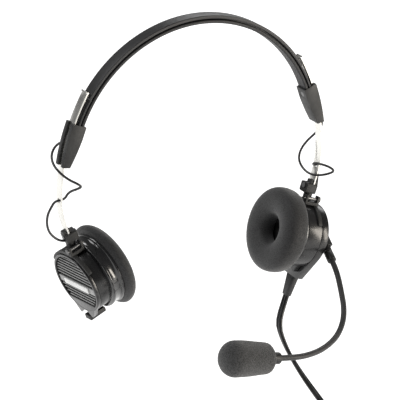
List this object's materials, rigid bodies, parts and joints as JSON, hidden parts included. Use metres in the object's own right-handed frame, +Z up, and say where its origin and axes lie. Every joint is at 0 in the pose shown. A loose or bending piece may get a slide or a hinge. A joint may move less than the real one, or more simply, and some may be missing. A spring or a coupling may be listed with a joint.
{
  "type": "aviation headset",
  "caption": "Lightweight on-ear aviation headset: sprung headband, curved steel sliders, swivelling round phones, gooseneck boom microphone with foam windscreen, and a cord with two plugs.",
  "frame": {"origin": "on the headband pad's inner face at the crown, midway across the band", "axes": "+Z up, the wearer faces -Y, +X towards the wearer's left, where the boom microphone is"},
  "size_m": [0.1975, 0.1888, 0.295],
  "materials": {
    "pad_vinyl": "soft matte black vinyl",
    "spring_steel": "cold rolled spring steel",
    "band_cover": "satin dark grey with a soft sheen",
    "wire_sheath": "smooth black sheath with a dull sheen",
    "block_plastic": "fine matte dark grey",
    "black_rubber": "matte black rubber",
    "bright_steel": "bright, lightly polished stainless steel",
    "clevis_plastic": "matte black",
    "case_plastic": "gloss black",
    "inner_plastic": "matte black",
    "magnet_steel": "zinc plated",
    "cone_film": "thin clear film",
    "plated_brass": "nickel plated brass",
    "screw_steel": "zinc plated steel",
    "cushion_leatherette": "soft matte black leatherette",
    "label_print": "grey plate with no lettering",
    "foam": "open-cell dark grey foam",
    "plug_plastic": "black moulded plastic"
  },
  "bodies": {
    "headband": {"headband_inner_pad": "pad_vinyl", "headband_spring": "spring_steel", "headband_outer_cover": "band_cover", "crossover_wire": "wire_sheath", "left_slider_block": "block_plastic", "right_slider_block": "block_plastic", "wire_glands": "black_rubber", "friction_springs": "spring_steel", "block_rivets": "bright_steel"},
    "left_slider": {"left_slider_strip": "bright_steel", "left_clevis": "clevis_plastic", "left_clevis_rivet": "bright_steel", "left_lead_wire": "wire_sheath"},
    "right_slider": {"right_slider_strip": "bright_steel", "right_clevis": "clevis_plastic", "right_clevis_rivet": "bright_steel", "right_lead_wire": "wire_sheath"},
    "left_phone": {"left_yoke": "clevis_plastic", "left_stop_pin": "bright_steel", "left_case": "case_plastic", "left_flange": "case_plastic", "left_baffle": "inner_plastic", "left_driver_basket": "inner_plastic", "left_driver_magnet": "magnet_steel", "left_diaphragm": "cone_film", "left_driver_screws": "screw_steel", "left_ear_cushion": "cushion_leatherette", "left_grille": "case_plastic", "label_plate": "label_print", "cord_hook": "clevis_plastic"},
    "right_phone": {"right_yoke": "clevis_plastic", "right_stop_pin": "bright_steel", "right_case": "case_plastic", "right_flange": "case_plastic", "right_baffle": "inner_plastic", "right_driver_basket": "inner_plastic", "right_driver_magnet": "magnet_steel", "right_diaphragm": "cone_film", "right_driver_screws": "screw_steel", "right_ear_cushion": "cushion_leatherette", "boom_housing": "case_plastic", "housing_back_plate": "case_plastic", "cord_boot": "black_rubber", "cord_lead": "wire_sheath", "cord_coil": "wire_sheath", "cord_tie": "black_rubber", "cord_splitter": "black_rubber", "cord_tails": "wire_sheath", "headphone_plug": "plug_plastic", "headphone_plug_contact": "plated_brass", "microphone_plug": "plug_plastic", "microphone_plug_contact": "plated_brass"},
    "boom": {"boom_swivel": "case_plastic", "boom_clip": "bright_steel", "boom_ferrule": "plated_brass", "gooseneck_lower": "black_rubber"},
    "mic_end": {"gooseneck_upper": "black_rubber", "mic_collar": "case_plastic", "mic_capsule": "plated_brass", "windscreen": "foam"}
  },
  "joints": [
    {"name": "left_slide", "type": "hinge", "parent": "headband", "child": "left_slider", "pos_m": [0.03533, 0, -0.09699], "axis": [0, -1, 0], "range_deg": [-6.31, 8.11]},
    {"name": "right_slide", "type": "hinge", "parent": "headband", "child": "right_slider", "pos_m": [-0.03533, 0, -0.09699], "axis": [0, 1, 0], "range_deg": [-6.31, 8.11]},
    {"name": "left_swivel", "type": "hinge", "parent": "left_slider", "child": "left_phone", "pos_m": [-0.07615, 0, -0.15156], "axis": [-0.3239, 0, 0.9461], "range_deg": [-15, 15]},
    {"name": "right_swivel", "type": "hinge", "parent": "right_slider", "child": "right_phone", "pos_m": [0.07649, 0, -0.15086], "axis": [0.318, 0, 0.9481], "range_deg": [-15, 15]},
    {"name": "boom_swing", "type": "hinge", "parent": "right_phone", "child": "boom", "pos_m": [0.09242, -0.00052, -0.14987], "axis": [0.9475, -0.0349, -0.3178], "range_deg": [-80, 30]},
    {"name": "gooseneck_flex", "type": "hinge", "parent": "boom", "child": "mic_end", "pos_m": [0.058, -0.07425, -0.1925], "axis": [-0.0803, -0.0449, 0.9958], "range_deg": [-20, 20]}
  ]
}
